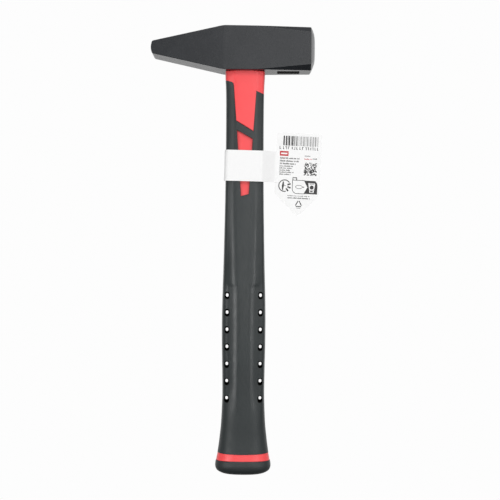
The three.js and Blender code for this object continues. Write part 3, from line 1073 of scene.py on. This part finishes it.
def print_icons(ink):
    """An open ring with a slanted leaf and three short bars, and a rounded triangle."""
    middle = (-10.5, -9.7)
    ink.line(arc(middle, 4.5, 35, 285, 24), 0.7)
    right_edge = [(-11.6, -13.2), (-11.0, -9.6), (-11.2, -6.4)]
    left_edge = [(-12.0, -6.6), (-12.6, -9.8)]
    ink.shape([(-12.3, -13.2), *right_edge, *left_edge])
    ink.line([(-11.2, -9.2), (-9.6, -9.8)], 0.4)
    for angle in (20, -18, -55):
        turn = math.radians(angle)
        along = Vector((math.cos(turn), math.sin(turn)))
        ink.line([tuple(Vector(middle) + along * 2.4), tuple(Vector(middle) + along * 5.0)], 1.2)
    base, peak = -25.5, -21.1
    sides = (
        [(-0.9, base), (3.1, base)],
        [(3.5, base + 0.7), (1.5, peak)],
        [(0.7, peak), (-1.3, base + 0.7)],
    )
    for side in sides:
        ink.line(side, 0.75)
    ink.block(-0.3, -27.0, 3.0, 0.3)


def print_black():
    rng = random.Random(11)
    ink = Ink()
    print_bars(ink, rng)
    print_square(ink, rng)
    print_sorting_box(ink)
    print_icons(ink)
    for bottom, length in ((11.3, 15.2), (9.1, 15.2), (7.0, 12.4)):
        ink.words(rng, -15.0, bottom, length, 1.3)
    for bottom, length in ((5.2, 10.6), (3.6, 9.6), (2.0, 8.7), (0.4, 11.5), (-1.2, 9.0)):
        ink.words(rng, -15.2, bottom, length, 0.95)
    ink.words(rng, 10.4, 11.8, 4.2, 1.0)
    ink.words(rng, 4.0, 13.9, 4.4, 0.7)
    ink.words(rng, -7.8, -17.6, 17.5, 0.6)
    ink.words(rng, -7.8, -19.5, 17.5, 1.1)
    return ink.outlines


def print_red():
    """A plain red patch with a pale bar left open, and two small red lines."""
    rng = random.Random(12)
    ink = Ink()
    ink.block(-15.4, 13.6, 6.8, 1.3)
    ink.block(-15.4, 16.1, 6.8, 1.3)
    ink.block(-15.4, 14.9, 0.9, 1.2)
    ink.block(-9.5, 14.9, 0.9, 1.2)
    ink.words(rng, 4.0, 11.4, 6.2, 0.9)
    ink.block(-12.6, 11.4, 0.7, 0.8)
    return ink.outlines


def tag_front():
    low, high = node_box("label_tag")
    return (low.y + high.y) / 2 - PAPER_THICKNESS / 2


def label_card():
    card = curled_card("label_card", [tag_outline()], tag_front(), PAPER_THICKNESS)
    shade(card, 50, weighted=False)
    finish_piece(card, ["label_tag"], [CARD])


def label_print(name, outlines, material):
    """Ink that stands a hair proud of the tag and reaches a little into it."""
    proud, sunk = 0.03, 0.06
    ink = curled_card(name, outlines, tag_front() - proud, proud + sunk, 4.0)
    finish_piece(ink, [], [material])


# ---- stage, lights and camera -------------------------------------------------------------------
def area_light(name, place, target, size, power):
    light = bpy.data.lights.new(name, "AREA")
    light.shape = "RECTANGLE"
    light.size, light.size_y = size
    light.energy = power
    obj = bpy.data.objects.new(name, light)
    obj.location = place
    obj.rotation_euler = (Vector(target) - Vector(place)).to_track_quat("-Z", "Y").to_euler()
    bpy.context.scene.collection.objects.link(obj)


def level_ramp(tree, levels):
    """A grey ramp through the given (position, level) pairs."""
    ramp = tree.nodes.new("ShaderNodeValToRGB")
    stops = ramp.color_ramp.elements
    while len(stops) < len(levels):
        stops.new(0.5)
    for stop, (position, level) in zip(stops, levels):
        stop.position = position
        stop.color = (level, level, level, 1)
    return ramp


def from_zero_to_one(tree, low, high):
    """A node that runs from 0 to 1 as its value goes from low to high."""
    made = tree.nodes.new("ShaderNodeMapRange")
    made.inputs["From Min"].default_value = low
    made.inputs["From Max"].default_value = high
    return made


def studio_world():
    """White behind the object for the camera; for everything else a soft room, lit by height in
    front of the object, darker at its sides and bright behind it."""
    world = bpy.data.worlds.new("studio")
    world.use_nodes = True
    tree = world.node_tree
    backdrop = tree.nodes["Background"]
    backdrop.inputs["Color"].default_value = (0.982, 0.982, 0.982, 1)
    room = tree.nodes.new("ShaderNodeBackground")
    split = tree.nodes.new("ShaderNodeSeparateXYZ")
    height = from_zero_to_one(tree, -1, 1)
    front = level_ramp(tree, [
        (0.0, 0.1), (0.15, 0.3), (0.3, 0.8), (0.41, 0.45), (0.445, 0.25), (0.465, 0.65),
        (0.485, 1.45), (0.51, 1.5), (0.545, 0.5), (0.6, 0.52), (0.75, 0.9), (1.0, 0.42),
    ])
    behind = level_ramp(tree, [
        (0.0, 0.1), (0.3, 0.3), (0.4, 0.6), (0.44, 0.95), (0.52, 0.85), (1.0, 0.45),
    ])
    sideways = from_zero_to_one(tree, -1, 1)
    sides = level_ramp(tree, [
        (0.1, 0.5), (0.22, 0.9), (0.33, 0.5), (0.43, 0.3), (0.47, 0.8),
        (0.5, 1.1), (0.53, 0.7), (0.57, 0.7), (0.64, 0.95), (0.78, 1.0),
        (0.9, 0.5),
    ])
    darker = tree.nodes.new("ShaderNodeMix")
    darker.data_type = "RGBA"
    darker.blend_type = "MULTIPLY"
    darker.inputs[0].default_value = 1.0
    facing = from_zero_to_one(tree, 0.0, 0.6)
    blend = tree.nodes.new("ShaderNodeMix")
    blend.data_type = "RGBA"
    rays = tree.nodes.new("ShaderNodeLightPath")
    mix = tree.nodes.new("ShaderNodeMixShader")
    place = tree.nodes.new("ShaderNodeTexCoord")
    for source, target in (
        (place.outputs["Generated"], split.inputs["Vector"]),
        (split.outputs["Z"], height.inputs["Value"]),
        (height.outputs["Result"], front.inputs["Fac"]),
        (height.outputs["Result"], behind.inputs["Fac"]),
        (split.outputs["Y"], facing.inputs["Value"]),
        (facing.outputs["Result"], blend.inputs[0]),
        (split.outputs["X"], sideways.inputs["Value"]),
        (sideways.outputs["Result"], sides.inputs["Fac"]),
        (front.outputs["Color"], darker.inputs[6]),
        (sides.outputs["Color"], darker.inputs[7]),
        (darker.outputs[2], blend.inputs[6]),
        (behind.outputs["Color"], blend.inputs[7]),
        (blend.outputs[2], room.inputs["Color"]),
        (rays.outputs["Is Camera Ray"], mix.inputs["Fac"]),
        (room.outputs["Background"], mix.inputs[1]),
        (backdrop.outputs["Background"], mix.inputs[2]),
        (mix.outputs["Shader"], tree.nodes["World Output"].inputs["Surface"]),
    ):
        tree.links.new(source, target)
    bpy.context.scene.world = world


def pale_floor():
    """A pale floor well below the hammer, nearly as bright as the backdrop. Only the camera sees it."""
    glow = {"Emission_Color": (1, 1, 1, 1), "Emission_Strength": 0.42}
    s = Shader("pale_floor", Roughness=0.9, Specular_IOR_Level=0.0, **glow)
    s.set("Base Color", s.ramp(s.noise(3, 2), (0.86, 0.86, 0.86), (0.88, 0.88, 0.88)))
    half, back, level = 1.4, 1.2, -0.36
    corners = [(-half, -half, level), (half, -half, level), (half, back, level), (-half, back, level)]
    mesh = bpy.data.meshes.new("floor")
    mesh.from_pydata(corners, [], [(0, 1, 2, 3)])
    mesh.materials.append(s.material)
    floor = bpy.data.objects.new("floor", mesh)
    floor.visible_glossy = False
    floor.visible_diffuse = False
    floor.visible_shadow = False
    bpy.context.scene.collection.objects.link(floor)


def studio():
    studio_world()
    bpy.context.scene.view_settings.view_transform = "Standard"
    pale_floor()
    target = (0, 0, 0.08)
    area_light("front_box", (0.64, -1.7, 0.56), (0, 0, 0.16), (0.96, 0.8), 3.0)
    area_light("high_box", (0.0, -1.6, 1.35), target, (1.8, 0.7), 13.1)
    area_light("grip_card", (0.0, -1.75, 0.03), (0, 0, 0.03), (0.44, 0.2), 1.1)
    area_light("cheek_card", (0.02, -1.7, 0.48), (0, 0, 0.23), (0.16, 0.5), 0.42)
    area_light("left_strip", (-0.96, -1.34, -0.05), target, (0.66, 0.24), 5.3)
    area_light("right_strip", (0.87, -1.4, -0.04), target, (0.32, 0.22), 2.2)
    area_light("top_box", (0.0, -0.35, 1.5), target, (1.2, 0.8), 2.0)
    area_light("right_fill", (1.45, -0.95, 0.2), (0, 0, 0.15), (0.5, 0.9), 1.7)


def camera():
    distance = 1.03
    data = bpy.data.cameras.new("camera")
    data.lens = 94.18
    data.sensor_width = 36
    obj = bpy.data.objects.new("camera", data)
    obj.location = (0.0046, -distance, 0.0771)
    level = Matrix.Rotation(math.pi / 2, 3, "X")
    roll = Matrix.Rotation(math.radians(0.36), 3, "Z")
    obj.rotation_euler = (level @ roll).to_euler()
    bpy.context.scene.collection.objects.link(obj)
    bpy.context.scene.camera = obj


camera()
studio()
LACQUER, STEEL, RUBBER, RED = black_lacquer(), ground_steel(), black_rubber(), red_plastic()
POCKET = matt_black("pocket_black", (0.006, 0.006, 0.0065), (0.012, 0.012, 0.0125), 0.00005, 1.3)
# Near-black rubber for the slots' walls: painted shade inside the holes, not a colour of the grip.
SLOT_PAINTED_SHADE = matt_black("slot_painted_shade", (0.003, 0.003, 0.003), (0.007, 0.007, 0.007), 0.00003, 1.25)
RESIN, FOAM, FIBRE = cast_resin(), foam_rubber(), glass_fibre()
PAPER = paper("white_paper", (0.86, 0.86, 0.86), (0.89, 0.89, 0.888))
INK_BLACK = paper("ink_black", (0.03, 0.03, 0.03), (0.06, 0.06, 0.06))
INK_RED = paper("ink_red", (0.5, 0.035, 0.04), (0.58, 0.05, 0.055))
CARD = paper("printed_paper", (0.86, 0.86, 0.86), (0.89, 0.89, 0.888))

head_forging()
jacket_moulding()
grip_rubber()
butt_rubber()
core_rod()
eye_filling("resin_pool", "eye_resin", RESIN, 0.5)
eye_filling("dam_washer", "resin_dam", FOAM, 0.0)
label_band()
label_card()
label_print("label_print_black", print_black(), INK_BLACK)
label_print("label_print_red", print_red(), INK_RED)
